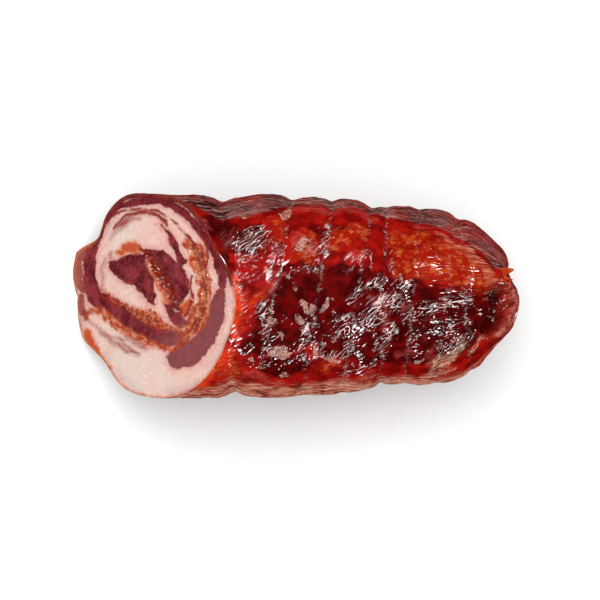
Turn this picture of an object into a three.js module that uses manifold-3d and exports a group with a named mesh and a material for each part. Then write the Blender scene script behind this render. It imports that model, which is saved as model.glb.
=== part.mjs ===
// A piece of rolled cured bacon: a slab of belly rolled up round its spice, pressed into a
// netted casing, cut on a slant at one end and gathered shut at the other.
// Millimetres, +Z up. The roll runs along X, the cut end toward -X.
import * as THREE from "three";
import { mergeVertices } from "three/addons/utils/BufferGeometryUtils.js";
import Module from "manifold-3d";

const wasm = await Module();
wasm.setup();

// Driving sizes. Along the roll, x is counted from the lowest point of the cut.
const ROLL_RADIUS = 53.4; // at the cut
const TAPER = 5.4; // radius lost between TAPER_START and the closed end
const TAPER_START = 112;
const END_START = 158; // where the closed end starts to round off
const END_TIP = 231; // furthest point of the gathered end
const END_FULLNESS = 3; // 2 is an ellipse, more is blunter
const REST_DEPTH = 2; // how far the underside is pressed flat
const CUT_RUN = 86; // how far the cut leans back from the floor to the top

// Mesh fineness
const AROUND = 78;
const BODY_ROWS = 36;
const END_ROWS = 22;
const FACE_ROWS = 16;

// Hollows and swells of the outline at the cut, by angle about the roll's axis (0 is +Y, 90 up)
const CUT_LOBES = [
  { angle: 58, width: 24, rise: -5.2 },
  { angle: 224, width: 15, rise: -4.2 },
  { angle: 246, width: 7, rise: 1.2 },
  { angle: 271, width: 5, rise: -2.4 },
  { angle: 288, width: 11, rise: 4.6 },
  { angle: 310, width: 9, rise: -4.6 },
  { angle: 338, width: 15, rise: 2.6 },
];
const LOBE_REACH = 48; // how far along the roll they fade out
const LIP_ANGLE = 283; // the lip of the last turn stands out of the cut here
const LIP_WIDTH = 11;
const LIP_REACH = 2.6;

// Grooves that the net pressed in: place on the axis, lean toward +Y, half-width, and depth on
// the far side (+Y), on top and on the near side (-Y)
const NET_GROOVES = [
  { at: 81, lean: -3.2, width: 3.6, far: 2.8, top: 0.7, near: 3.2 },
  { at: 105, lean: 10, width: 3, far: 1.8, top: 0.8, near: 0.6 },
  { at: 128, lean: 8, width: 3, far: 2.2, top: 0.9, near: 0.8 },
  { at: 149, lean: 8, width: 3, far: 2.6, top: 1, near: 0.9 },
  { at: 163, lean: 1.5, width: 2.6, far: 0.9, top: 0.7, near: 2.6 },
  { at: 178, lean: 4, width: 2.8, far: 1.7, top: 0.7, near: 0.7 },
  { at: 196, lean: 6, width: 3, far: 1.6, top: 0.7, near: 0.8 },
  { at: 206, lean: -3, width: 2.6, far: 0.4, top: 0.4, near: 1.4 },
];
const PILLOW_SHARE = 0.4; // share of a groove's depth taken by the wide dip beside it
const PILLOW_WIDTH = 2.2; // width of that dip, in widths of its groove

// Broad swells and hollows of the casing, with their reach along the roll and width in degrees
const BULGES = [
  { at: 102, angle: 12, reach: 12, width: 40, rise: 2.8 },
  { at: 108, angle: 188, reach: 42, width: 45, rise: -1.4 },
  { at: 203, angle: 24, reach: 27, width: 45, rise: -2.8 },
  { at: 222, angle: 15, reach: 9, width: 40, rise: -4 },
  { at: 225, angle: 200, reach: 12, width: 45, rise: -4 },
];

// The gathered end
const PLEATS = 11;
const PLEAT_DEPTH = 1.5;
const PLEAT_START = 198;
const PINCH_SHIFT = new THREE.Vector3(0, 10, 7); // from the axis to where the end is tied
const PINCH_DEPTH = 5;
const PINCH_RADIUS = 7;
const CREASE_ANGLE = 92; // fold between the fat dome and the lean side, running into the pinch
const CREASE_WIDTH = 7;
const CREASE_DEPTH = 3.4;

// A fold of casing that stands up beside the pinch, seen from above, with a pocket behind it
const FOLD_CREST = [[226, 7], [228.5, 1], [228.5, -7], [227, -13], [221, -20]];
const FOLD_REACH = 6;
const FOLD_WIDTH = 4;
const POCKET_LINE = [[222.5, 1], [223.5, -6], [221.5, -12.5], [217, -17.5]];
const POCKET_DEPTH = 6;
const POCKET_WIDTH = 3.6;
const FOLD_HEART = new THREE.Vector3(205, 0, 46); // fold and pocket are pushed away from here
const FOLD_BASE = 40; // height at which the fold begins
const FOLD_TOP = 58; // height at which it stands out fully

// Torn ends of casing left standing out of the pinch: root, direction, length and half-width
const TATTERS = [
  { root: [222, 12.5, 73], toward: [1, 0.2, -0.03], length: 10.2, width: 2.6 },
  { root: [226, 11.5, 74], toward: [0.2, -0.7, 1], length: 7.5, width: 1.7 },
  { root: [227, 8.5, 75.5], toward: [1, 0.15, 0.35], length: 5, width: 1.6 },
];
const TATTER_THICKNESS = 0.9;

// Seams on the cut face, seen from above (x along the roll, y across it)
const ROLL_SEAM = [
  [3.6, -11.7], [10.5, -7.4], [24.3, -15.9], [38, -23.3], [48.6, -26.8], [61.4, -19.6],
  [67.7, -7.4], [69.3, 5.8], [65.6, 23.3], [55, 33.9], [42.3, 44.5], [27.4, 45.1], [15.8, 37.1],
];
const CORE_SEAM = [[34.3, 24.9], [42.3, 16.4], [49.2, 5.8], [55, -7.4], [57.7, -11.7]];
const SEAM_DEPTH = 1.5;
const SEAM_WIDTH = 2.1;
const FACE_SWELL = 1.6; // the soft fat stands proud between the seams

const smoothstep = THREE.MathUtils.smoothstep;
const degrees = THREE.MathUtils.radToDeg;

// A smooth hump of height 1 at distance 0
function hump(distance, width) {
  return Math.exp(-((distance / width) ** 2));
}

// Difference of two angles in degrees, from -180 to 180
function turnBetween(a, b) {
  return THREE.MathUtils.euclideanModulo(a - b + 180, 360) - 180;
}

// Radius of the plain roll at a place along it
function plainRadius(x) {
  const body = ROLL_RADIUS - TAPER * smoothstep(x, TAPER_START, END_START);
  if (x <= END_START) {
    return body;
  }
  const share = (x - END_START) / (END_TIP - END_START);
  return body * Math.sqrt(Math.max(0, 1 - share ** END_FULLNESS));
}

// Height of the roll's axis, so that the underside lies straight along the floor
function axisHeight(x) {
  return ROLL_RADIUS - TAPER * smoothstep(x, TAPER_START, END_START) - REST_DEPTH;
}

// Place of the slanting cut along the roll at a height above the floor
function cutPlace(z) {
  return CUT_RUN * z / (2 * ROLL_RADIUS - REST_DEPTH);
}

function lobeRise(x, angle) {
  const fade = hump(x, LOBE_REACH);
  let rise = 0;
  for (const lobe of CUT_LOBES) {
    rise += lobe.rise * hump(turnBetween(angle, lobe.angle), lobe.width);
  }
  return rise * fade;
}

function bulgeRise(x, angle) {
  let rise = 0;
  for (const bulge of BULGES) {
    const near = hump(x - bulge.at, bulge.reach);
    rise += bulge.rise * near * hump(turnBetween(angle, bulge.angle), bulge.width);
  }
  return rise;
}

function netDip(x, sideways) {
  let dip = 0;
  for (const groove of NET_GROOVES) {
    const side = sideways > 0 ? groove.far : groove.near;
    const depth = groove.top + (side - groove.top) * sideways ** 2;
    const distance = x - groove.at - groove.lean * sideways;
    const line = hump(distance, groove.width);
    const pillow = hump(distance, groove.width * PILLOW_WIDTH);
    dip += depth * ((1 - PILLOW_SHARE) * line + PILLOW_SHARE * pillow);
  }
  return dip;
}

// Slow unevenness of meat pressed by hand
function lumpRise(x, turn) {
  const long = Math.sin(x / 27 - 0.4 + 1.3 * Math.cos(turn - 0.6));
  const cross = Math.cos(3 * turn + x / 31) * Math.sin(x / 13 + 2 * Math.sin(turn));
  return 0.8 * long + 0.7 * cross;
}

function pleatRise(x, turn) {
  const start = smoothstep(x, PLEAT_START, END_TIP);
  const wander = 0.6 * Math.sin(2 * turn + 1);
  return PLEAT_DEPTH * start * Math.cos(PLEATS * turn + wander);
}

function creaseDip(x, angle) {
  const start = smoothstep(x, 192, 226);
  return CREASE_DEPTH * start * hump(turnBetween(angle, CREASE_ANGLE), CREASE_WIDTH);
}

// Points along a smooth line through corners seen from above
function smoothLine(corners) {
  const curve = new THREE.SplineCurve(corners.map(([x, y]) => new THREE.Vector2(x, y)));
  return curve.getSpacedPoints(20 * corners.length);
}

// Distance from a place, seen from above, to the nearest point of a line
function distanceTo(line, x, y) {
  let nearest = Infinity;
  for (const point of line) {
    nearest = Math.min(nearest, Math.hypot(point.x - x, point.y - y));
  }
  return nearest;
}

const seamLines = [smoothLine(ROLL_SEAM), smoothLine(CORE_SEAM)];
const foldCrest = smoothLine(FOLD_CREST);
const pocketLine = smoothLine(POCKET_LINE);

// Moves a point of the plain lathed roll, given by place, radius and turn, to its true place
function shapeCasing(x, radius, turn) {
  const angle = degrees(turn);
  const sideways = Math.cos(turn);
  const placeOnRoll = x + (1 - x / END_TIP) * cutPlace(axisHeight(x) + radius * Math.sin(turn));
  const full = smoothstep(radius, 0, 22);
  const rise = lobeRise(x, angle) + lumpRise(placeOnRoll, turn) + bulgeRise(placeOnRoll, angle)
    - netDip(placeOnRoll, sideways) + pleatRise(x, turn) - creaseDip(x, angle);
  const out = radius + rise * full;
  const drawn = smoothstep(x, END_START, END_TIP) * (1 - radius / (ROLL_RADIUS - TAPER));
  const y = out * Math.cos(turn) + PINCH_SHIFT.y * drawn;
  const z = axisHeight(x) + out * Math.sin(turn) + PINCH_SHIFT.z * drawn;
  const slant = (1 - x / END_TIP) * cutPlace(z);
  return new THREE.Vector3(x + slant, y, z);
}

// The pinch in the closed end and the fold of casing beside it
function shapeEnd(point) {
  const nearTip = smoothstep(point.x, 205, 220);
  const pinch = new THREE.Vector3(point.x, 0, axisHeight(point.x)).add(PINCH_SHIFT);
  const fromPinch = point.distanceTo(pinch);
  const crest = FOLD_REACH * hump(distanceTo(foldCrest, point.x, point.y), FOLD_WIDTH);
  const pocket = POCKET_DEPTH * hump(distanceTo(pocketLine, point.x, point.y), POCKET_WIDTH);
  const standing = nearTip * smoothstep(point.z, FOLD_BASE, FOLD_TOP);
  const outward = new THREE.Vector3(point.x - FOLD_HEART.x, 0, point.z - FOLD_HEART.z).normalize();
  point.addScaledVector(outward, standing * (crest - pocket));
  point.x -= PINCH_DEPTH * nearTip * hump(fromPinch, PINCH_RADIUS);
  return point;
}

// Puts a point of the flat end on the slanting, gently uneven cut
function shapeFace(radius, turn) {
  const share = radius / ROLL_RADIUS;
  const rim = shapeCasing(0, ROLL_RADIUS, turn);
  const y = rim.y * share;
  const z = axisHeight(0) + (rim.z - axisHeight(0)) * share;
  const x = cutPlace(z);
  let rise = FACE_SWELL * (1 - share ** 2);
  for (const line of seamLines) {
    const groove = hump(distanceTo(line, x, y), SEAM_WIDTH);
    rise -= SEAM_DEPTH * groove * smoothstep(1 - share, 0, 0.08);
  }
  const lip = LIP_REACH * hump(turnBetween(degrees(turn), LIP_ANGLE), LIP_WIDTH) * share ** 5;
  const lean = Math.atan2(CUT_RUN, 2 * ROLL_RADIUS - REST_DEPTH);
  return new THREE.Vector3(x - rise * Math.cos(lean) - lip, y, z + rise * Math.sin(lean));
}

// Profile of the plain roll from the middle of the cut round to the tip of the closed end
function rollProfile() {
  const profile = [];
  for (let row = 0; row < FACE_ROWS; row += 1) {
    profile.push(new THREE.Vector2(ROLL_RADIUS * row / FACE_ROWS, 0));
  }
  for (let row = 0; row <= BODY_ROWS; row += 1) {
    const x = (row / BODY_ROWS) * END_START;
    profile.push(new THREE.Vector2(plainRadius(x), x));
  }
  for (let row = 1; row <= END_ROWS; row += 1) {
    const share = Math.sin((row / END_ROWS) * (Math.PI / 2)) ** 0.8;
    const x = END_START + (END_TIP - END_START) * share;
    profile.push(new THREE.Vector2(row === END_ROWS ? 0 : plainRadius(x), x));
  }
  return profile;
}

// The lathed roll with every point moved to its true place
function rollGeometry() {
  const lathed = new THREE.LatheGeometry(rollProfile(), AROUND);
  lathed.deleteAttribute("normal");
  lathed.deleteAttribute("uv");
  const geometry = mergeVertices(lathed, 1e-3);
  const places = geometry.attributes.position;
  for (let i = 0; i < places.count; i += 1) {
    const x = places.getY(i);
    const radius = Math.hypot(places.getX(i), places.getZ(i));
    const turn = Math.atan2(places.getX(i), places.getZ(i));
    const onFace = x === 0 && radius < ROLL_RADIUS - 0.01;
    const isRim = x === 0 && !onFace;
    let point;
    if (onFace || isRim) {
      point = shapeFace(radius, turn);
    } else {
      point = shapeEnd(shapeCasing(x, radius, turn));
    }
    places.setXYZ(i, point.x, point.y, point.z);
  }
  return geometry;
}

// A closed geometry as a solid that can be joined and cut
function solidOf(geometry) {
  const places = geometry.attributes.position.array;
  const corners = [];
  for (let i = 0; i < geometry.index.count; i += 3) {
    const [a, b, c] = [0, 1, 2].map((step) => geometry.index.getX(i + step));
    if (a !== b && b !== c && c !== a) {
      corners.push(a, b, c);
    }
  }
  return new wasm.Manifold(new wasm.Mesh({
    numProp: 3,
    vertProperties: new Float32Array(places),
    triVerts: new Uint32Array(corners),
  }));
}

function geometryOf(solid) {
  const mesh = solid.getMesh();
  const geometry = new THREE.BufferGeometry();
  geometry.setAttribute("position", new THREE.BufferAttribute(mesh.vertProperties, 3));
  geometry.setIndex(new THREE.BufferAttribute(mesh.triVerts, 1));
  return geometry;
}

// One torn end of casing, a flat pointed tongue
function tatter({ root, toward, length, width }) {
  const tongue = new THREE.ConeGeometry(width, length, 6);
  tongue.deleteAttribute("normal");
  tongue.deleteAttribute("uv");
  tongue.translate(0, length / 2, 0);
  tongue.scale(1, 1, TATTER_THICKNESS / width);
  const way = new THREE.Vector3(...toward).normalize();
  const turn = new THREE.Quaternion().setFromUnitVectors(new THREE.Vector3(0, 1, 0), way);
  tongue.applyQuaternion(turn);
  tongue.translate(...root);
  return mergeVertices(tongue, 1e-3);
}

// The floor side, a block that takes the underside off flat
function floorBlock() {
  const block = new THREE.BoxGeometry(400, 200, 40);
  block.translate(120, 0, -20);
  block.deleteAttribute("normal");
  block.deleteAttribute("uv");
  return mergeVertices(block, 1e-3);
}

let roll = solidOf(rollGeometry()).subtract(solidOf(floorBlock()));
for (const strip of TATTERS) {
  roll = roll.add(solidOf(tatter(strip)));
}
const rollMesh = new THREE.Mesh(
  geometryOf(roll),
  new THREE.MeshStandardMaterial({ color: 0x8f1d14, roughness: 0.3, metalness: 0 }),
);
rollMesh.name = "bacon_roll";

// Stand the roll centred over the origin
rollMesh.geometry.computeBoundingBox();
const middle = rollMesh.geometry.boundingBox.getCenter(new THREE.Vector3());
rollMesh.geometry.translate(-middle.x, -middle.y, 0);

const group = new THREE.Group();
group.add(rollMesh);
export default group;
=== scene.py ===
"""A piece of rolled cured bacon lying on its side: the look of the solid bacon_roll.

The solid is replaced by one skin, a grid of rows round the roll, which is cut into pieces.
Forms are worked out in millimetres with the same named sizes as the solid, x counted along the
roll from near the lowest point of the cut, and the meshes are made in metres.
"""
import math
from functools import partial

import bpy
import numpy as np
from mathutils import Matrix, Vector


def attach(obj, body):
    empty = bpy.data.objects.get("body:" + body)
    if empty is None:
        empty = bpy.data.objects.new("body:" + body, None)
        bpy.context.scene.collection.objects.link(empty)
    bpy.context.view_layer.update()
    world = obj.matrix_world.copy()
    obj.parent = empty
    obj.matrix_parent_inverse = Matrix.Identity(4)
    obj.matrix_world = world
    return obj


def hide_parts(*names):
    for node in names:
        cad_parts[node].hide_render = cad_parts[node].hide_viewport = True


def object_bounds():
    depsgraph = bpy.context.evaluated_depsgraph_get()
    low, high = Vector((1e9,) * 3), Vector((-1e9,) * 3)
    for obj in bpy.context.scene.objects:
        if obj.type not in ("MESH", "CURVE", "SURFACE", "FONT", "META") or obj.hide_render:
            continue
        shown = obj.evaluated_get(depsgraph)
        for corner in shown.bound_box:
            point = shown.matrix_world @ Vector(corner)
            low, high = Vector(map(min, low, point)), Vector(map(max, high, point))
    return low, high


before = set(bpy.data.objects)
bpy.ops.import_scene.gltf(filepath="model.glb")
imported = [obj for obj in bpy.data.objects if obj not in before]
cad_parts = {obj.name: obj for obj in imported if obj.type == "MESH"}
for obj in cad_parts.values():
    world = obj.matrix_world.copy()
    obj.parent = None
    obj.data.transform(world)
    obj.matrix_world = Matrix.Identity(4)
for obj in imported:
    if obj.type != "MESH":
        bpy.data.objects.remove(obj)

CAD_LOW, CAD_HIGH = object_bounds()
MM = 0.001

# Driving sizes of the solid
ROLL_RADIUS = 53.4
TAPER = 5.4
TAPER_START = 112
END_START = 158
END_TIP = 231
END_FULLNESS = 3
REST_DEPTH = 2.0
CUT_RUN = 86
CUT_HEIGHT = 2 * ROLL_RADIUS - REST_DEPTH
CUT_LEAN = math.atan2(CUT_RUN, CUT_HEIGHT)
CUT_NORMAL = (-math.cos(CUT_LEAN), 0, math.sin(CUT_LEAN))

# Hollows and swells of the outline at the cut: angle, width and rise
CUT_LOBES = [
    (58, 24, -5.2), (224, 15, -4.2), (246, 7, 1.2), (271, 5, -2.4),
    (288, 11, 4.6), (310, 9, -4.6), (338, 15, 2.6),
]
LOBE_REACH = 48
LIP_ANGLE = 283
LIP_WIDTH = 11
LIP_REACH = 2.6

# Grooves that the net pressed in: place, lean, half-width, depth on the far side, on top and near
NET_GROOVES = [
    (81, -3.2, 3.6, 2.8, 0.7, 3.2), (105, 10, 3, 1.8, 0.8, 0.6), (128, 8, 3, 2.2, 0.9, 0.8),
    (149, 8, 3, 2.6, 1, 0.9), (163, 1.5, 2.6, 0.9, 0.7, 2.6), (178, 4, 2.8, 1.7, 0.7, 0.7),
    (196, 6, 3, 1.6, 0.7, 0.8), (206, -3, 2.6, 0.4, 0.4, 1.4),
]
PILLOW_SHARE = 0.4
PILLOW_WIDTH = 2.2

# Broad swells and hollows: place, angle, reach along the roll, width and rise
BULGES = [
    (102, 12, 12, 40, 2.8), (108, 188, 42, 45, -1.4), (203, 24, 27, 45, -2.8),
    (222, 15, 9, 40, -4), (225, 200, 12, 45, -4),
]

# The gathered end
PLEATS = 11
PLEAT_DEPTH = 1.5
PLEAT_START = 198
PINCH_SHIFT = (0, 10, 7)
PINCH_DEPTH = 5
PINCH_RADIUS = 7
PINCH_START, PINCH_END = 205, 220
CREASE_ANGLE = 92
CREASE_WIDTH = 7
CREASE_DEPTH = 3.4
CREASE_START, CREASE_END = 192, 226
FOLD_CREST = [(226, 7), (228.5, 1), (228.5, -7), (227, -13), (221, -20)]
FOLD_REACH = 6
FOLD_WIDTH = 4
POCKET_LINE = [(222.5, 1), (223.5, -6), (221.5, -12.5), (217, -17.5)]
POCKET_DEPTH = 6
POCKET_WIDTH = 3.6
FOLD_HEART = (205, 0, 46)
FOLD_BASE = 40
FOLD_TOP = 58

# Torn ends of casing that stand out of the pinch: root, direction, length and half-width
TATTERS = [
    ((222, 12.5, 73), (1, 0.2, -0.03), 10.2, 2.6), ((226, 11.5, 74), (0.2, -0.7, 1), 7.5, 1.7),
    ((227, 8.5, 75.5), (1, 0.15, 0.35), 5, 1.6),
]

# Fineness of the skin
CELL = 0.53
FACE_CELL = 0.42
CASING_PIECES = 3


def bands(*rows, numbers=3):
    """Bands from rows of tenths of a millimetre, a few numbers for each station on the way."""
    return [np.reshape(row, (-1, numbers)) / 10 for row in rows]


# What the cut shows, seen from above. A station has a place along the roll, a place across it
# and a half-width.
LEAN_BANDS = bands(
    # outer turn, from the lower left round the top to the right
    [99, -5, 40, 78, 48, 40, 65, 106, 37, 68, 170, 33, 73, 233, 31, 89, 292, 30, 110, 350, 30,
     139, 408, 30, 174, 456, 31, 216, 485, 24, 264, 490, 18, 312, 504, 22, 365, 519, 27,
     412, 523, 25, 460, 511, 24, 508, 488, 21, 550, 461, 20, 592, 429, 20, 630, 390, 19,
     667, 345, 17, 698, 297, 18, 725, 249, 19, 749, 201, 21, 767, 154, 23, 781, 106, 24,
     778, 58, 21],
    # its wide end at the lower right
    [770, 21, 24, 759, -42, 36, 749, -101, 42, 725, -159, 42, 693, -217, 47, 651, -265, 53,
     601, -305, 58, 545, -323, 56],
    # inner turn along the bottom
    [99, -5, 40, 168, -32, 40, 221, -66, 45, 274, -106, 46, 327, -138, 46, 380, -170, 45,
     433, -195, 48, 486, -213, 48, 539, -212, 38, 582, -207, 24],
    # core, left of the innermost fold
    [190, 180, 14, 216, 162, 34, 253, 148, 56, 296, 140, 72, 338, 138, 69, 365, 106, 61,
     380, 53, 40, 402, 5, 29, 418, -32, 11],
    # and the point of it under the blob of spice
    [264, 191, 24, 312, 201, 29, 359, 223, 27],
    # core, right of the fold
    [380, 244, 13, 423, 228, 24, 465, 201, 40, 497, 159, 53, 526, 111, 64, 545, 64, 66,
     553, 16, 45, 558, -27, 21],
    # below the fold
    [497, -37, 16, 513, -69, 27, 539, -103, 34, 571, -132, 27, 598, -135, 11],
    # thin streak in the fat above the core
    [455, 382, 4, 481, 355, 6, 502, 329, 11, 524, 292, 16, 542, 254, 14, 555, 217, 16,
     571, 183, 16, 592, 191, 5],
)
FAINT_BANDS = bands(
    [221, 387, 6, 253, 416, 8, 296, 435, 11, 338, 443, 12, 380, 443, 12, 418, 435, 10,
     449, 413, 6], [184, 307, 5, 211, 350, 16, 248, 387, 21, 290, 411, 19, 338, 421, 11],
    [52, -117, 5, 94, -148, 7, 137, -186, 7, 179, -209, 6, 221, -220, 7, 264, -233, 10],
    [115, -164, 5, 152, -201, 14, 200, -236, 16, 253, -260, 19, 296, -284, 21, 333, -305, 13],
    [280, -217, 16, 317, -233, 21, 354, -260, 18, 380, -276, 8],
    [184, 239, 8, 190, 207, 10, 200, 191, 6], [152, 212, 3, 142, 154, 8, 142, 95, 8, 152, 42, 3],
)
SPICE_BANDS = bands(
    # outer seam, from the notch under the lip to the lower right
    [36, -111, 8, 62, -85, 10, 94, -66, 11, 126, -77, 13, 158, -101, 16, 195, -127, 17,
     227, -154, 17, 259, -178, 16, 301, -193, 10, 338, -209, 10, 375, -231, 13, 407, -246, 10,
     449, -260, 8, 486, -270, 8, 524, -265, 8, 561, -252, 8, 592, -231, 9],
    # its turn up the right side
    [582, -212, 11, 614, -178, 27, 651, -135, 34, 675, -80, 32, 685, -21, 28, 690, 32, 27,
     685, 85, 24, 677, 138, 28, 664, 191, 32, 648, 236, 33, 624, 265, 19, 598, 284, 14],
    # inner seam under the core
    [131, 42, -3, 168, 11, -1, 206, -21, 2, 243, -42, 6, 280, -61, 8, 312, -80, 14, 343, -93, 22,
     380, -101, 29, 418, -117, 27, 449, -138, 20, 481, -156, 12, 518, -170, 11, 550, -175, 9,
     582, -156, 5, 606, -122, 4, 622, -80, 4, 630, -32, 4, 627, -5, 3],
)
SEAM_LINES = bands(
    [137, 371, 177, 427, 249, 455, 347, 464, 432, 455, 493, 424, 542, 382, 590, 327, 633, 278],
    [206, 371, 259, 427, 338, 448, 418, 440, 471, 398], [433, 435, 465, 413, 486, 382],
    [688, 159, 696, 212, 693, 260, 680, 302, 661, 334], [115, 21, 147, -5, 184, -27, 221, -42],
    [624, 106, 619, 53, 624, 0, 614, -53, 587, -95],
    numbers=2,
)
CORE_FOLD = bands(
    [341, 265, 8, 365, 233, 15, 391, 204, 18, 418, 170, 21, 439, 132, 24, 465, 90, 24, 489, 48, 24,
     510, 5, 22, 529, -37, 20, 553, -80, 16],
)
STAIN_BANDS = bands(
    [259, 257, 21, 296, 265, 32, 333, 262, 27], [227, 239, 14, 253, 233, 16],
    [396, 180, 12, 418, 143, 14, 433, 111, 15, 449, 69, 16, 471, 27, 16, 492, -16, 13],
    [577, -69, 24, 598, -48, 24, 619, -21, 14],
    [52, -196, 27, 73, -239, 24, 99, -281, 17, 137, -345, 16, 168, -382, 16],
    [619, 201, 16, 635, 148, 12],
)
SKIN_BANDS = bands(
    # flaps of the last turn at the left
    [62, 265, 19, 31, 244, 34, 9, 191, 37, 1, 132, 35, 12, 80, 30, 31, 42, 18],
    [25, 0, 21, 20, -42, 27, 31, -85, 22],
)

# What shows through the upper side of the casing, by the same kind of stations
DARK_PATCHES = bands(
    [953, -254, 53, 1006, -223, 95, 1069, -170, 132, 1154, -117, 164, 1255, -53, 201,
     1387, -32, 201, 1520, -42, 191, 1652, -80, 186, 1785, -90, 175, 1917, -111, 164,
     2050, -122, 143, 2140, -106, 95], [1038, -350, 58, 1112, -366, 69, 1175, -329, 58],
    [1864, -297, 74, 1970, -297, 74, 2066, -260, 64],
    [720, 424, 48, 773, 371, 69, 836, 318, 85, 905, 307, 80, 953, 345, 42],
    [778, 233, 48, 815, 180, 32], [1265, 371, 27, 1303, 345, 21], [1409, 360, 21],
    [1101, 154, 21, 1175, 180, 16], [910, -260, 48],
    [1334, -260, 64, 1451, -260, 64, 1573, -297, 74, 1705, -329, 74, 1838, -339, 74],
)
ORANGE_PATCHES = bands(
    [1695, 148, 27, 1785, 159, 53, 1875, 170, 74, 1970, 175, 95, 2055, 164, 106, 2129, 143, 90,
     2172, 106, 53], [1864, 307, 32, 1970, 276, 48, 2055, 254, 42],
    [1679, 318, 32, 1758, 339, 37, 1833, 350, 32], [1361, 297, 42, 1440, 329, 53, 1504, 339, 48],
    [1165, 233, 32, 1207, 281, 42, 1239, 318, 32], [1271, 223, 27, 1218, 201, 21],
    [932, -32, 27, 974, 0, 27, 995, 42, 21],
    [842, 74, 27, 857, -21, 37, 852, -106, 32, 842, -180, 27],
    [645, -456, 32, 709, -403, 42, 762, -350, 42, 810, -286, 32], [815, -371, 37, 836, -435, 27],
    [1313, -382, 32, 1366, -339, 37], [783, 339, 27, 826, 360, 21], [1069, 392, 27, 1091, 339, 21],
    [1695, 260, 37, 1769, 244, 42, 1848, 260, 42],
)
FILM_PATCHES = bands(
    [1101, 440, 27, 1175, 461, 32, 1281, 461, 32, 1387, 456, 32, 1493, 445, 32, 1578, 413, 27],
    [857, 493, 27, 937, 493, 32, 1016, 514, 21], [804, 445, 27, 900, 435, 32, 974, 440, 27],
    [1038, 132, 21, 1075, 127, 27], [1599, -21, 32, 1621, -85, 42, 1621, -148, 32],
    [1801, 419, 21, 1864, 398, 21], [677, 419, 21, 720, 382, 16],
    [889, -403, 32, 942, -403, 37, 995, -424, 32], [1175, 323, 32, 1218, 265, 32],
    [1748, -53, 27, 1780, -42, 21], [1462, 212, 27, 1504, 233, 21],
    [1981, -201, 32, 2013, -233, 21], [1059, 307, 21, 1054, 254, 16],
    [1891, -297, 21, 1875, -350, 27], [1705, -318, 27, 1780, -307, 21],
)
PALE_PATCHES = bands(
    [1917, 371, 16, 1997, 334, 27, 2076, 281, 37, 2145, 212, 42, 2188, 138, 32, 2214, 85, 21],
    [2167, 21, 13, 2209, 0, 16, 2188, -53, 16],
    [645, -519, 16, 778, -504, 21, 910, -504, 27, 1043, -514, 21, 1175, -504, 27, 1308, -493, 27,
     1430, -477, 32, 1536, -466, 32], [1504, -435, 27, 1557, -424, 32],
    [1896, -413, 27, 1954, -371, 37, 2002, -323, 32, 2039, -281, 21],
    [1838, -451, 21, 1917, -451, 27, 1981, -429, 21], [1705, -451, 16, 1769, -456, 16],
    [2145, -297, 21, 2098, -350, 21],
)
GLINT_PATCHES = bands(
    [884, 207, 42, 905, 254, 69, 948, 307, 74, 985, 350, 53],
    [863, 106, 21, 879, 21, 23, 889, -53, 21], [1027, -21, 32, 995, -95, 37, 1006, -180, 42],
    [1197, -260, 32, 1218, -201, 42, 1239, -138, 32],
    [1409, -138, 37, 1451, -117, 32, 1377, -191, 32],
    [1366, -318, 42, 1419, -297, 48, 1451, -254, 32],
    [1048, 53, 21, 1091, 106, 21, 1165, 127, 21, 1260, 138, 27],
    [1472, 0, 37, 1525, 53, 37, 1599, 95, 37], [1557, -117, 53, 1621, -53, 64, 1695, -21, 64],
    [1663, -191, 64, 1599, -254, 42],
    [1769, -117, 48, 1843, -74, 53, 1917, -42, 53, 2002, -21, 48, 2076, -11, 37],
    [1811, -223, 42, 1886, -170, 48, 1981, -180, 58, 2066, -180, 42],
    [1917, -297, 42, 2002, -286, 48, 2087, -244, 42], [815, -276, 16],
    [1006, -297, 21, 995, -371, 21], [1414, -424, 37, 1451, -382, 32],
    [1515, -392, 37, 1568, -350, 32, 1621, -297, 32],
    [1239, 244, 27, 1292, 265, 32, 1324, 339, 32, 1324, 392, 21], [1080, 297, 27, 1069, 212, 21],
    [1504, 201, 32, 1546, 244, 21], [1663, 244, 21, 1663, 170, 21], [2045, 27, 16, 2098, 16, 16],
    [1896, 281, 11, 1939, 281, 11], [1202, -286, 27, 1207, -339, 27],
)
FLAKES = bands(
    [1096, 424, 21, 1128, 445, 24, 1149, 451, 13], [1181, 254, 16, 1207, 292, 24, 1234, 297, 16],
    [1213, -27, 18, 1223, -58, 21], [1255, -48, 19, 1250, -74, 14],
    [1181, -101, 16, 1197, -122, 18], [1329, -16, 8, 1324, -42, 13, 1303, -69, 11],
    [1038, -292, 23, 1075, -286, 34, 1107, -297, 27], [1096, -403, 13, 1122, -398, 19],
    [1265, -276, 16, 1281, -297, 14], [1721, 122, 7, 1732, 90, 12],
    [1032, -122, 18, 1048, -117, 13], [1366, -85, 8], [1356, -11, 7], [1313, -244, 11],
    [1128, 95, 12], [1032, -64, 11], [953, 170, 11], [1170, 42, 10],
    [1806, -376, 19, 1833, -366, 11], [1340, -318, 21, 1356, -339, 14],
    [1091, -191, 8, 1101, -217, 7], [1122, -350, 11], [937, -323, 14], [1965, -5, 11],
    [895, 419, 11],
)

# The line past which the casing is painted dull, as shade on the far side: place along the roll
# and across it
FAR_SIDE = bands(
    [460, 493, 778, 435, 910, 424, 1043, 440, 1122, 477, 1334, 482, 1414, 466, 1573, 461,
     1705, 440, 1838, 435, 1970, 398, 2076, 355, 2156, 297, 2220, 200],
    numbers=2,
)


def hump(distance, width):
    """A smooth hump of height 1 at distance 0."""
    return np.exp(-((distance / width) ** 2))


def step(value, start, end):
    """A smooth step from 0 at start to 1 at end."""
    share = np.clip((value - start) / (end - start), 0, 1)
    return share * share * (3 - 2 * share)


def turn_between(a, b):
    """Difference of two angles in degrees, from -180 to 180."""
    return np.mod(a - b + 180, 360) - 180


# Noise

LATTICE = 512


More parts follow.
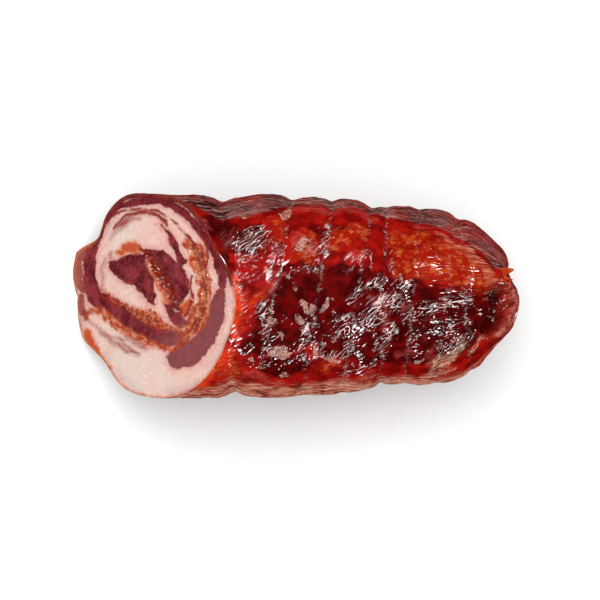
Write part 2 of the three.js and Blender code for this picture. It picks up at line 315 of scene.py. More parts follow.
def noise(u, v, seed, wrap=LATTICE):
    """Smooth gradient noise from about -1 to 1; it repeats along v after wrap cells."""
    angles = np.random.default_rng(seed).uniform(0, 2 * math.pi, (LATTICE, LATTICE))
    way_u = np.cos(angles)
    way_v = np.sin(angles)
    cell_u = np.floor(u).astype(int)
    cell_v = np.floor(v).astype(int)
    in_u = u - cell_u
    in_v = v - cell_v

    def corner(du, dv):
        a = np.mod(cell_u + du, LATTICE)
        b = np.mod(cell_v + dv, wrap)
        return way_u[a, b] * (in_u - du) + way_v[a, b] * (in_v - dv)

    ease_u = in_u ** 3 * (in_u * (in_u * 6 - 15) + 10)
    ease_v = in_v ** 3 * (in_v * (in_v * 6 - 15) + 10)
    low = corner(0, 0) + ease_u * (corner(1, 0) - corner(0, 0))
    high = corner(0, 1) + ease_u * (corner(1, 1) - corner(0, 1))
    return 1.5 * (low + ease_v * (high - low))


def round_noise(x, turn, size_x, size_round, seed, slope=0.0):
    """Noise on the casing with cells of two sizes; slope turns its grain across the roll."""
    cells = max(3, round(2 * math.pi * ROLL_RADIUS / size_round))
    v = turn / (2 * math.pi) * cells - slope * x / size_round
    return noise(x / size_x, v, seed, cells)


def crests(values, sharpness=2.0):
    """Sharp ridges along the lines where noise passes through 0, from 0 to 1."""
    return np.clip(1 - sharpness * np.abs(values), 0, 1) ** 2


# The plain form, as in the solid

def smooth_line(stations, per_station=12):
    """A smooth run through rows of stations."""
    points = np.array(stations, dtype=float)
    if len(points) == 1:
        return points
    padded = np.vstack([2 * points[0] - points[1], points, 2 * points[-1] - points[-2]])
    line = []
    for a, b, c, d in zip(padded, padded[1:], padded[2:], padded[3:]):
        for k in range(per_station):
            t = k / per_station
            line.append(0.5 * (2 * b + (c - a) * t + (2 * a - 5 * b + 4 * c - d) * t ** 2
                               + (3 * b - a - 3 * c + d) * t ** 3))
    line.append(points[-1])
    return np.array(line)


def line_distance(stations, x, y):
    best = np.full(x.shape, 1e3)
    for at_x, at_y in smooth_line(stations):
        np.minimum(best, np.hypot(x - at_x, y - at_y), out=best)
    return best


def plain_radius(x):
    body = ROLL_RADIUS - TAPER * step(x, TAPER_START, END_START)
    share = np.clip((x - END_START) / (END_TIP - END_START), 0, 1)
    return body * np.sqrt(np.maximum(0, 1 - share ** END_FULLNESS))


def axis_height(x):
    return ROLL_RADIUS - TAPER * step(x, TAPER_START, END_START) - REST_DEPTH


def cut_place(z):
    return CUT_RUN * z / CUT_HEIGHT


def lobe_rise(x, angle):
    rise = sum(up * hump(turn_between(angle, at), width) for at, width, up in CUT_LOBES)
    return rise * hump(x, LOBE_REACH)


def bulge_rise(x, angle):
    return sum(up * hump(x - at, reach) * hump(turn_between(angle, way), width)
               for at, way, reach, width, up in BULGES)


def net_distance(x, sideways, groove):
    at, lean = groove[:2]
    return x - at - lean * sideways


def net_dip(x, sideways):
    dip = 0
    for groove in NET_GROOVES:
        width, far, top, near = groove[2:]
        side = np.where(sideways > 0, far, near)
        depth = top + (side - top) * sideways ** 2
        distance = net_distance(x, sideways, groove)
        pillow = hump(distance, width * PILLOW_WIDTH)
        dip = dip + depth * ((1 - PILLOW_SHARE) * hump(distance, width) + PILLOW_SHARE * pillow)
    return dip


def lump_rise(x, turn):
    long = np.sin(x / 27 - 0.4 + 1.3 * np.cos(turn - 0.6))
    cross = np.cos(3 * turn + x / 31) * np.sin(x / 13 + 2 * np.sin(turn))
    return 0.8 * long + 0.7 * cross


def pleat_rise(x, turn):
    wander = 0.6 * np.sin(2 * turn + 1)
    return PLEAT_DEPTH * step(x, PLEAT_START, END_TIP) * np.cos(PLEATS * turn + wander)


def crease_dip(x, angle):
    wide = hump(turn_between(angle, CREASE_ANGLE), CREASE_WIDTH)
    return CREASE_DEPTH * step(x, CREASE_START, CREASE_END) * wide


def shape_casing(x, radius, turn):
    """True places of points of the plain roll, given by place, radius and turn."""
    angle = np.degrees(turn)
    height = axis_height(x)
    place = x + (1 - x / END_TIP) * cut_place(height + radius * np.sin(turn))
    rise = lobe_rise(x, angle) + lump_rise(place, turn) + bulge_rise(place, angle)
    rise = rise - net_dip(place, np.cos(turn)) + pleat_rise(x, turn) - crease_dip(x, angle)
    out = radius + rise * step(radius, 0, 22)
    drawn = step(x, END_START, END_TIP) * (1 - radius / (ROLL_RADIUS - TAPER))
    y = out * np.cos(turn) + PINCH_SHIFT[1] * drawn
    z = np.maximum(height + out * np.sin(turn) + PINCH_SHIFT[2] * drawn, 0)
    return np.stack([x + (1 - x / END_TIP) * cut_place(z), y, z], axis=-1)


def pinch_shares(x, y, z, radius):
    """How near a point is to the tip along the roll, and to the pinch across it."""
    distance = np.hypot(y - PINCH_SHIFT[1], z - axis_height(x) - PINCH_SHIFT[2])
    return step(x, PINCH_START, PINCH_END), hump(distance, radius)


def shape_end(points):
    """The pinch in the closed end and the fold of casing beside it."""
    x, y, z = np.moveaxis(points, -1, 0)
    near_tip, in_pinch = pinch_shares(x, y, z, PINCH_RADIUS)
    crest = FOLD_REACH * hump(line_distance(FOLD_CREST, x, y), FOLD_WIDTH)
    pocket = POCKET_DEPTH * hump(line_distance(POCKET_LINE, x, y), POCKET_WIDTH)
    standing = near_tip * step(z, FOLD_BASE, FOLD_TOP) * (crest - pocket)
    out_x, out_z = x - FOLD_HEART[0], z - FOLD_HEART[2]
    far = np.maximum(np.hypot(out_x, out_z), 1e-6)
    x = x + out_x / far * standing - PINCH_DEPTH * near_tip * in_pinch
    return np.stack([x, y, z + out_z / far * standing], axis=-1)


def shape_face(share, turn):
    """Places on the slanting cut."""
    full = np.full_like(turn, ROLL_RADIUS)
    rim = shape_casing(np.zeros_like(turn), full, turn)
    middle = axis_height(0.0)
    y = rim[..., 1] * share
    z = middle + (rim[..., 2] - middle) * share
    lip = LIP_REACH * hump(turn_between(np.degrees(turn), LIP_ANGLE), LIP_WIDTH) * share ** 5
    return np.stack([cut_place(z) - lip, y, z], axis=-1)


# Bands of stations

def band_depth(table, x, y):
    """How far inside the nearest band a point lies, in millimetres; negative is outside."""
    best = np.full(x.shape, -1e3)
    for stations in table:
        for at_x, at_y, half in smooth_line(stations):
            np.maximum(best, half - np.hypot(x - at_x, y - at_y), out=best)
    return best


UNROLLED_RADIUS = 50
SEEN_HALF = 52  # half of the roll's width, seen from above


def unrolled(y):
    """Length round the roll from its top line to a place across it."""
    return UNROLLED_RADIUS * np.arcsin(np.clip(np.asarray(y) / SEEN_HALF, -1, 1))


def patch_depth(patches, x, arc):
    """The same on the unrolled casing, for stations seen from above."""
    flat = [[(at_x, float(unrolled(at_y)), half) for at_x, at_y, half in stations]
            for stations in patches]
    return band_depth(flat, x, arc)


# The skin as one grid

END_LENGTH = 96  # along the surface, from the start of the closed end to its tip
END_CROWDING = 0.8


def casing_rows():
    body = np.arange(0, END_START, CELL)
    count = round(END_LENGTH / CELL)
    share = np.sin(np.arange(0, count) / count * math.pi / 2) ** END_CROWDING
    return np.concatenate([body[1:], END_START + (END_TIP - END_START) * share])


def grid_normals(points):
    """Normals of a grid of points whose columns close round."""
    wide = np.concatenate([points[:, -1:], points, points[:, :1]], axis=1)
    round_way = wide[:, 2:] - wide[:, :-2]
    along_way = np.gradient(points, axis=0)
    normal = np.cross(round_way, along_way)
    return normal / np.maximum(np.linalg.norm(normal, axis=-1, keepdims=True), 1e-12)


def standing(relief, reach=3):
    """How far each point of a relief stands out of its neighbourhood."""
    mean = sum(np.roll(relief, k, axis=1) for k in range(-reach, reach + 1)) / (2 * reach + 1)
    padded = np.pad(mean, ((reach, reach), (0, 0)), mode="edge")
    rows = len(relief)
    return relief - sum(padded[k:k + rows] for k in range(2 * reach + 1)) / (2 * reach + 1)


def film_wrinkles(x, turn, steep, busy, level, smooth):
    """Wrinkles that slant over the middle and run along the roll where it is level."""
    ripple = partial(round_noise, x, turn)
    bend = 3 * ripple(30, 24, 11) + 0.5 * ripple(8, 7, 12)
    bent = partial(round_noise, x + bend, turn)
    slanting = crests(bent(13, 1.7, 21, slope=-0.8), 1.5)
    steeper = crests(bent(14, 2.6, 22, slope=-1.15), 1.7)
    flatter = crests(bent(15, 2.2, 26, slope=-0.5), 1.7)
    lengthwise = crests(round_noise(x, turn + 0.012 * bend, 26, 2.5, 23), 1.6)
    drawn = crests(bent(20, 4.4, 24), 1.6)
    fine = crests(ripple(7, 1.3, 25, slope=-0.7))
    dashes = step(ripple(8, 2.6, 27, slope=-0.8), -0.3, 0.3)
    longer = step(ripple(12, 3.4, 28), -0.4, 0.4)
    middle = np.maximum(slanting, np.maximum((0.6 + 0.5 * steep) * steeper, 0.7 * flatter))
    middle = (1 - level) * busy * (0.2 + 0.8 * dashes) * (0.8 * middle + 0.25 * fine)
    sides = 0.75 * lengthwise + 0.65 * drawn
    return middle + level * smooth * (0.55 + 0.45 * busy) * (0.4 + 0.6 * longer) * sides


def string_lines(x, turn):
    """The net's strings along the middle of each groove, clearer in some places."""
    lines = np.zeros_like(x)
    wander = 1.1 * round_noise(x, turn, 9, 9, 41)
    for groove in NET_GROOVES:
        distance = net_distance(x, np.cos(turn), groove) + wander
        strength = 0.55 + round_noise(x, turn, 60, 13, 42 + int(groove[0]))
        lines = np.maximum(lines, np.clip(strength, 0.1, 1) * hump(distance, 0.7))
    return lines


def fold_parts(x, plain, frayed):
    """The thin lip, the pocket (painted dark as shade) and the wall of the fold at the end."""
    plain_x, y, z = np.moveaxis(plain, -1, 0)
    standing_up = step(z, FOLD_BASE, FOLD_TOP)
    from_crest = line_distance(FOLD_CREST, plain_x, y)
    lip = hump(from_crest + 0.5 * frayed, 1.1) * standing_up
    wall = hump(from_crest, 3.5) * standing_up
    pocket = hump(line_distance(POCKET_LINE, plain_x, y) + 0.4 * frayed, 2.1) * standing_up
    near_tip, in_pinch = pinch_shares(x, y, z, 4)
    return lip, np.maximum(pocket, 0.8 * near_tip * in_pinch), wall


def casing_detail(points, turn, plain):
    """Fine relief of the casing and what its material needs to know at each point.

    plain has the same points before the fold at the end was raised.
    """
    x = points[..., 0]
    ripple = partial(round_noise, x, turn)
    from_cut = x - cut_place(points[..., 2])
    arc = -turn_between(np.degrees(turn), 90) * math.pi / 180 * UNROLLED_RADIUS
    under = step(-np.sin(turn), -0.05, 0.35)
    steep = step(x, 172, 190) * step(arc, -12, -28) * step(arc, -64, -54)
    to_end = step(x, 165, 200) * (1 - 0.8 * steep)

    def warped(size, amount, seed):
        return amount * ripple(size, size * 0.85, seed)

    warp_x = x + warped(13, 2.6, 71) + warped(4.5, 1.6, 72) + warped(2, 0.7, 75)
    warp_arc = arc + warped(13, 2.6, 73) + warped(4.5, 1.6, 74) + warped(2, 0.7, 76)

    def patch(patches, seed, size, slack):
        """The listed patches above, patches of chance underneath."""
        listed = patch_depth(patches, warp_x, warp_arc)
        chance = 9 * ripple(size, size * 0.7, seed) - slack
        return listed * (1 - under) + chance * under

    dark = patch(DARK_PATCHES, 81, 40, 1.5)
    orange = patch(ORANGE_PATCHES, 82, 34, 4)
    film = patch(FILM_PATCHES, 83, 22, 6)
    pale = patch(PALE_PATCHES, 84, 26, 7)
    corner = step(x, 88, 81) * step(arc, 10, 18) * (1 - under)
    glint = patch(GLINT_PATCHES, 85, 20, 1) - 12 * corner
    flake = patch_depth(FLAKES, x + 0.6 * (warp_x - x), arc + 0.6 * (warp_arc - arc))
    flake = (flake + 0.9 * ripple(1.7, 1.4, 77)) * (1 - under) - 9 * under

    # the film is busy where it glints, a little less so low down, on dark meat and by the cut
    busy = step(glint, -2.5, 1.8)
    lower = step(arc, 14, -4)
    busy = np.maximum(busy, 0.16 + 0.1 * lower + 0.08 * step(dark, -1, 2))
    busy = np.maximum(busy, 0.4 * step(from_cut, 22, 8) * step(arc, 20, 12))
    busy = busy * (1 - corner)
    level = np.maximum(step(np.abs(arc), 44, 60), to_end)
    smooth = 1 - 0.5 * step(orange, -3, 3) * step(np.abs(arc), 50, 34)
    relief = film_wrinkles(x, turn, steep, busy, level, smooth)

    # the far side, turned away from the light, is painted dull brown as shade; below, the near
    # side is painted pale, partly pale film and partly light reflected from the floor
    drape = 5 * ripple(20, 60, 63) + 2 * ripple(7, 6, 65)
    far_x, far_y = FAR_SIDE[0].T
    past = arc - np.interp(x, far_x, unrolled(far_y)) + 0.3 * drape
    back = step(past, -1.5, 1.5) * (1 - 0.5 * step(past, 10, 28)) * (1 - under) + 0.5 * under
    near = step(arc + drape, -50, -60) * (1 - under)

    # string lines with the film puckered across them
    pucker = crests(ripple(5, 1.7, 51), 1.5)
    string = string_lines(x, turn) * (0.4 + 0.6 * np.maximum(busy, back)) * (1 - 0.9 * corner)
    string = string * (1 - step(orange, -2, 2) * (0.3 + 0.7 * step(x, 180, 190)))
    relief = relief - 0.6 * string + 0.75 * string * pucker

    # over the fat of the dome the grooves are shallower than in the solid
    dome = step(orange, -3, 2) * step(x, 150, 165)
    relief = relief + dome * net_dip(x, np.cos(turn))

    # dry flakes stand up and are crumpled
    on_flake = step(flake, -0.3, 0.3)
    crumple = crests(ripple(2.6, 1.3, 91, slope=0.9), 1.5)
    crumple = np.maximum(crumple, crests(ripple(1.5, 2.6, 92, slope=-0.7), 1.5))
    relief = relief * (1 - 0.6 * on_flake) + on_flake * (0.1 + 0.4 * crumple)
    height = standing(relief)

    # the fold at the end and slow unevenness
    lip, pocket, wall = fold_parts(x, plain, ripple(2.2, 2.2, 94))
    relief = relief - 1.6 * pocket + 0.5 * lip - 0.4 * level + 0.5 * wall * ripple(9, 2.6, 95)
    relief = relief + 0.25 * ripple(14, 11, 61) + 0.16 * busy * ripple(5, 4, 62)
    return relief, dict(
        dark=dark, orange=orange, film=film, pale=pale, glint=glint, flake=flake, height=height,
        string=string * (1 - pucker), knots=string * pucker, crumple=crumple, busy=busy,
        back=back, near=near, pocket=pocket, lip=lip, wall=wall, level=level, along=x,
        round=arc, from_cut=from_cut, steep=steep,
    )


FACE_MIDDLE = (38, 3)  # middle of the spiral
FACE_ROUND = 1.3  # the spiral is longer across the roll than along it, seen from above


def face_detail(points, share):
    """Fine relief of the cut and the fields that its material reads."""
    x, y = points[..., 0], points[..., 1]

    def grain(size, seed):
        return noise(x / size + 7, y / size + 40, seed)

    def warped(place, seed):
        rough = 0.8 * grain(6, seed) + 0.45 * grain(2.2, seed + 1)
        return place + rough + 0.25 * grain(1.0, seed + 2)

    warp = warped(x, 101), warped(y, 104)
    tables = LEAN_BANDS, FAINT_BANDS, SPICE_BANDS, CORE_FOLD, STAIN_BANDS, SKIN_BANDS
    lean, faint, spice, fold, stain, skin_flap = (band_depth(table, *warp) for table in tables)
    edge = (1 - share) * ROLL_RADIUS

    # over the top the outer lean lies against the casing
    over_top = np.minimum(y - 6, y + x - 41)
    lean = np.maximum(lean, np.minimum(2.4 - edge, 0.5 * over_top))
    bare = step(over_top, -6, 6)

    # layers that follow the spiral
    along = (x - FACE_MIDDLE[0]) * FACE_ROUND
    across = y - FACE_MIDDLE[1]
    ring = np.hypot(along, across) + 2.2 * grain(14, 107)
    turn = np.arctan2(across, along) / (2 * math.pi)
    layers = 0.6 * noise(ring / 1.7, turn * 24 + 30, 108) + 0.4 * noise(ring / 0.8, turn * 30, 109)
    sinew = crests(noise(ring / 3.2, turn * 12 + 9, 110) + 0.3 * grain(2, 111), 5)

    # clumps of spice, drawn out along the spiral
    clumps = 0.75 * noise(ring / 1.9, turn * 34 + 20, 116) + 0.7 * grain(3.6, 117)
    clumps = clumps + 0.5 * grain(1.5, 118)
    seam = np.minimum.reduce([line_distance(line, *warp) for line in SEAM_LINES])
    seam = np.minimum(1.4 * hump(seam, 0.75), 1) * step(grain(5, 119), -0.9, -0.2)
    fibres = 0.8 * noise(ring / 1.1, turn * 62 + 11, 120) + 0.6 * grain(1.3, 121)
    dusty = step(0.8 * x - y, 50, 68)
    in_spice = step(spice, -0.9, 0.5)
    in_fold = step(fold, -0.9, 1.0)

    relief = 1.2 * (1 - share ** 2) - 0.3 * step(lean, -0.4, 0.6)
    relief = relief - 0.5 * in_spice + 0.55 * clumps * in_spice - 0.3 * seam
    relief = relief - 1.6 * step(fold, -1.4, 1.4) + 1.1 * clumps * in_fold
    relief = relief + 0.05 * layers + 0.14 * grain(6, 114) + 0.03 * grain(1.9, 115)
    relief = relief + 0.5 * step(skin_flap, -1, 1.5)
    relief = relief * step(edge, -0.5, 1.2)
    return relief, dict(
        lean=lean, faint=faint, spice=spice, fold=fold, stain=stain, skin_flap=skin_flap,
        edge=edge, layers=layers, sinew=sinew, clumps=clumps, seam=seam, fibres=fibres,
        dusty=dusty, bare=bare,
    )


def skin():
    """Rows of points from the middle of the cut to the tip, on one set of columns.

    With them come the count of rows on the cut, the fields of both parts and the plain points.
    """
    columns = round(2 * math.pi * ROLL_RADIUS / (CELL * 1.07))
    turns = -math.pi / 2 + 2 * math.pi * np.arange(columns) / columns
    face_rows = round(ROLL_RADIUS * 1.15 / FACE_CELL)
    share, face_turn = np.meshgrid(np.arange(1, face_rows + 1) / face_rows, turns, indexing="ij")
    rows, casing_turn = np.meshgrid(casing_rows(), turns, indexing="ij")
    face = shape_face(share, face_turn)
    plain = shape_casing(rows, plain_radius(rows), casing_turn)
    casing = shape_end(plain)
    base = np.concatenate([face, casing])
    push = grid_normals(base)

    # the corner at the rim is sharp, so there the face and the casing keep their own normals
    push[:face_rows] = CUT_NORMAL
    face_relief, face_fields = face_detail(face, share)
    casing_relief, casing_fields = casing_detail(casing, casing_turn, plain)
    casing_relief = casing_relief * step(rows, 0, 3)
    relief = np.concatenate([face_relief, casing_relief])
    relief = relief * step(base[..., 2], 0, 2)
    points = base + push * relief[..., None]
    points[..., 2] = np.maximum(points[..., 2], 0)
    return points, face_rows, face_fields, casing_fields, base


def add_mesh(name, places, faces, normals=None, fields=None):
    """A mesh object from arrays: places in metres, faces as rows of corner numbers."""
    mesh = bpy.data.meshes.new(name)
    corners = np.concatenate([part.ravel() for part in faces]).astype(np.int32)
    totals = np.concatenate([np.full(len(part), part.shape[1]) for part in faces])
    mesh.vertices.add(len(places))
    mesh.vertices.foreach_set("co", places.astype(np.float32).ravel())
    mesh.loops.add(len(corners))
    mesh.loops.foreach_set("vertex_index", corners)
    mesh.polygons.add(len(totals))
    starts = np.cumsum(totals) - totals
    mesh.polygons.foreach_set("loop_start", starts.astype(np.int32))
    mesh.polygons.foreach_set("loop_total", totals.astype(np.int32))
    for field, values in (fields or {}).items():
        layer = mesh.attributes.new(field, "FLOAT", "POINT")
        layer.data.foreach_set("value", values.astype(np.float32).ravel())
    mesh.update(calc_edges=True)
    mesh.shade_smooth()
    if normals is not None:
        mesh.normals_split_custom_set_from_vertices(normals)
    piece = bpy.data.objects.new(name, mesh)
    bpy.context.scene.collection.objects.link(piece)
    return piece


def grid_faces(rows, columns):
    row, column = np.meshgrid(np.arange(rows - 1), np.arange(columns), indexing="ij")
    after = (column + 1) % columns
    quads = [row * columns + column, row * columns + after,
             (row + 1) * columns + after, (row + 1) * columns + column]
    return np.stack([q.ravel() for q in quads], axis=1)


def fan_faces(ring, middle, flip):
    after = np.roll(ring, -1)
    fan = [np.full_like(ring, middle), after, ring]
    if flip:
        fan = [fan[0], fan[2], fan[1]]
    return np.stack(fan, axis=1)


def build_skin(cut_material, casing_material):
    """The cut face, closed at its middle, and the casing in lengths, closed at the tip."""
    points, face_rows, face_fields, casing_fields, base = skin()
    columns = points.shape[1]
    normals = grid_normals(points)
    middle_x = (base[..., 0].min() + base[..., 0].max()) / 2
    middle_y = (base[..., 1].min() + base[..., 1].max()) / 2
    cad_middle = (CAD_LOW + CAD_HIGH) / 2
    shift = np.array([cad_middle.x / MM - middle_x, cad_middle.y / MM - middle_y, 0])
    places = (points + shift) * MM

    def add_rows(name, start, end, normals, fields, material, closed_row=None, pole=None):
        """Rows of the grid as a piece; a fan may close one of them with pole as its normal."""
        part = places[start:end].reshape(-1, 3)
        normals = normals.reshape(-1, 3)
        fields = {field: values.ravel() for field, values in fields.items()}
        faces = [grid_faces(end - start, columns)]
        if pole is not None:
            ring = np.arange(columns) + closed_row * columns
            faces.append(fan_faces(ring, len(part), closed_row == 0))
            part = np.vstack([part, part[ring].mean(axis=0)])
            normals = np.vstack([normals, pole])
            fields = {field: np.append(values, values[ring].mean())
                      for field, values in fields.items()}
        piece = add_mesh(name, part, faces, normals, fields)
        piece.data.materials.append(material)
        return piece

    made = [add_rows("cut_face", 0, face_rows, grid_normals(points[:face_rows]), face_fields,
                     cut_material, 0, CUT_NORMAL)]
    first = face_rows - 1
    last = len(places) - 1
    casing_normals = grid_normals(points[first:])
    bounds = np.linspace(first, last, CASING_PIECES + 1).round().astype(int)
    for number, (start, end) in enumerate(zip(bounds, bounds[1:]), 1):
        rows = slice(start - first, end + 1 - first)
        fields = {field: np.concatenate([values[:1], values])[rows]
                  for field, values in casing_fields.items()}
        closing = (end - start, (1, 0, 0)) if end == last else ()
        made.append(add_rows(f"casing_{number}", start, end + 1, casing_normals[rows], fields,
                             casing_material, *closing))
    return made, shift


# Torn casing at the pinch

TATTER_ROWS = 26
TATTER_COLUMNS = 9
TATTER_THICKNESS = 0.7


def build_tatters(shift, material):
    """Thin curling tongues of torn casing, two-sided, joined into one mesh."""
    places, faces, tints = [], [], []
    for number, (root, toward, length, width) in enumerate(TATTERS):
        random = np.random.default_rng(300 + number)
        way = Vector(toward).normalized()
        side = way.cross(Vector((0, 0, 1))).normalized()
        up = side.cross(way)
        way, side, up = (np.array(axis) for axis in (way, side, up))
        share, across = np.meshgrid(np.linspace(0, 1, TATTER_ROWS),
                                    np.linspace(-1, 1, TATTER_COLUMNS), indexing="ij")
        ragged_edge = 1 + 0.25 * np.interp(share, np.linspace(0, 1, 9), random.uniform(-1, 1, 9))
        half = width * (1 - share ** 1.6) ** 0.7 * ragged_edge
        curl = 0.8 * share ** 2 * random.uniform(0.5, 1.4)
        wave = 0.35 * np.sin(share * 7 + number) + 0.3 * across * np.sin(share * 5 + 2 * number)
        middle = (np.array(root) + way * (share * length)[..., None]
                  + side * (across * half)[..., None] + up * (curl + wave)[..., None])
        thick = TATTER_THICKNESS / 2 * (1 - 0.85 * across ** 2) * (1 - 0.8 * share)
        lift = up * thick[..., None]

        # one ring a row: the upper side one way and the lower side back
        rings = np.concatenate([middle + lift, (middle - lift)[:, ::-1]], axis=1)
        around = rings.shape[1]
        start = sum(len(part) for part in places)
        end = start + (TATTER_ROWS - 1) * around
        upper = np.arange(TATTER_COLUMNS - 1)
        lower = around - 1 - upper
        cap = np.stack([upper, upper + 1, lower - 1, lower], axis=1)
        faces += [grid_faces(TATTER_ROWS, around) + start, cap[:, ::-1] + start, cap + end]
        places.append(rings.reshape(-1, 3))
        tints.append(np.repeat(share[:, 0], around))
    stacked = (np.vstack(places) + shift) * MM
    piece = add_mesh("torn_casing", stacked, faces, fields={"tint": np.concatenate(tints)})
    piece.data.materials.append(material)
    return piece


# Materials

class Value:
    """A number or colour that a material works out at each point, with plain arithmetic."""

    def __init__(self, nodes, socket):
        self.nodes = nodes
        self.socket = socket

    def __add__(self, other):
        return self.nodes.math("ADD", self, other)

    def __sub__(self, other):
        return self.nodes.math("SUBTRACT", self, other)

    def __rsub__(self, other):
        return self.nodes.math("SUBTRACT", other, self)

    def __mul__(self, other):
        return self.nodes.math("MULTIPLY", self, other)

    def __truediv__(self, other):
        return self.nodes.math("DIVIDE", self, other)

    def step(self, low, high, to_low=0.0, to_high=1.0):
        """A smooth step between two numbers while this one goes from low to high."""
        inputs = dict(enumerate((self, low, high, to_low, to_high)))
        return self.nodes.add("MapRange", inputs, "Result", interpolation_type="SMOOTHSTEP")


class Nodes:
    """Short words for building a material's node tree."""

    def __init__(self, name):
        self.material = bpy.data.materials.new(name)
        self.material.use_nodes = True
        self.tree = self.material.node_tree
        self.places = self.add("TexCoord", {}, "Object")

    def add(self, kind, inputs, output, **settings):
        """One output of a new node, whose inputs are given by name or number."""
        node = self.tree.nodes.new("ShaderNode" + kind)
        for key, value in settings.items():
            setattr(node, key, value)
        self.feed(node, inputs)
        return Value(self, node.outputs[output])

    def feed(self, node, inputs):
        for key, value in inputs.items():
            if isinstance(value, Value):
                self.tree.links.new(value.socket, node.inputs[key])
            else:
                node.inputs[key].default_value = value

    def field(self, name):
        return self.add("Attribute", {}, "Fac", attribute_name=name)

    def math(self, operation, *values):
        return self.add("Math", dict(enumerate(values)), 0, operation=operation)

    def noise(self, scale, detail=3.0, roughness=0.55):
        inputs = {"Vector": self.places, "Scale": scale, "Detail": detail, "Roughness": roughness}
        return self.add("TexNoise", inputs, "Fac")

    def cells(self, scale):
        inputs = {"Vector": self.places, "Scale": scale}
        return self.add("TexVoronoi", inputs, "Distance", feature="DISTANCE_TO_EDGE")

    def streaks(self, tilt, length, width, detail, bend=0.0):
        """Ridges of the film, drawn out along a direction of the unrolled casing."""
        along, across = self.field("along"), self.field("round")
        cos, sin = math.cos(math.radians(tilt)), math.sin(math.radians(tilt))
        way = along * cos + across * sin
        side = across * cos - along * sin
        if bend:
            side = side + self.noise(70, 2) * bend
        place = self.add("CombineXYZ", {0: way / length, 1: side / width}, 0)
        inputs = {"Vector": place, "Scale": 1.0, "Detail": detail}
        waves = self.add("TexNoise", inputs, "Fac", noise_dimensions="2D")
        return 1.0 - self.math("ABSOLUTE", waves - 0.5) * 6.0

    def ragged(self, name, size, wobble):
        """A field with its edge broken up by noise."""
        return self.field(name) + (self.noise(size) - 0.5) * wobble

    def blend(self, share, first, second):
        """A number between two others."""
        return first * (1.0 - share) + second * share

    def mix(self, share, first, second):
        first, second = ((*colour, 1.0) if isinstance(colour, tuple) else colour
                         for colour in (first, second))
        return self.add("Mix", {0: share, 6: first, 7: second}, 2, data_type="RGBA")

    def coats(self, colour, *coats):
        """Coats of colour laid over a first one, each with its share, from the lowest up."""
        for share, coat in coats:
            colour = self.mix(share, colour, coat)
        return colour

    def bump(self, height, distance, strength):
        inputs = {"Height": height, "Distance": distance, "Strength": strength}
        return self.add("Bump", inputs, "Normal")

    def finish(self, **sockets):
        inputs = {name.replace("_", " "): value for name, value in sockets.items()}
        self.feed(self.tree.nodes["Principled BSDF"], inputs)
        return self.material


RED = (0.275, 0.0045, 0.0024)
DEEP_RED = (0.125, 0.0015, 0.0012)
BLACK_RED = (0.03, 0.0005, 0.0007)
BURGUNDY = (0.1, 0.001, 0.001)
BACK_DARK = (0.014, 0.003, 0.003)
BACK_BROWN = (0.13, 0.04, 0.038)
BACK_RED = (0.22, 0.03, 0.022)
BACK_LINE = (0.46, 0.3, 0.26)
WALL_RED = (0.3, 0.03, 0.012)
ORANGE = (0.25, 0.0075, 0.0014)
AMBER = (0.37, 0.056, 0.006)
# painted glow: fat by the cut painted brighter, as light shining through it
GLOW = (0.56, 0.034, 0.007)
FILM = (0.36, 0.06, 0.045)
FILM_LINE = (0.45, 0.24, 0.2)
# painted highlight: the grey of glints painted on the film
PAINTED_GLINT_GREY = (0.72, 0.62, 0.6)
PALE = (0.42, 0.12, 0.07)
PALE_LINE = (0.6, 0.36, 0.26)
CREAM = (0.52, 0.33, 0.23)
FLAKE_DARK = (0.19, 0.05, 0.036)
FLAKE_PALE = (0.5, 0.27, 0.19)


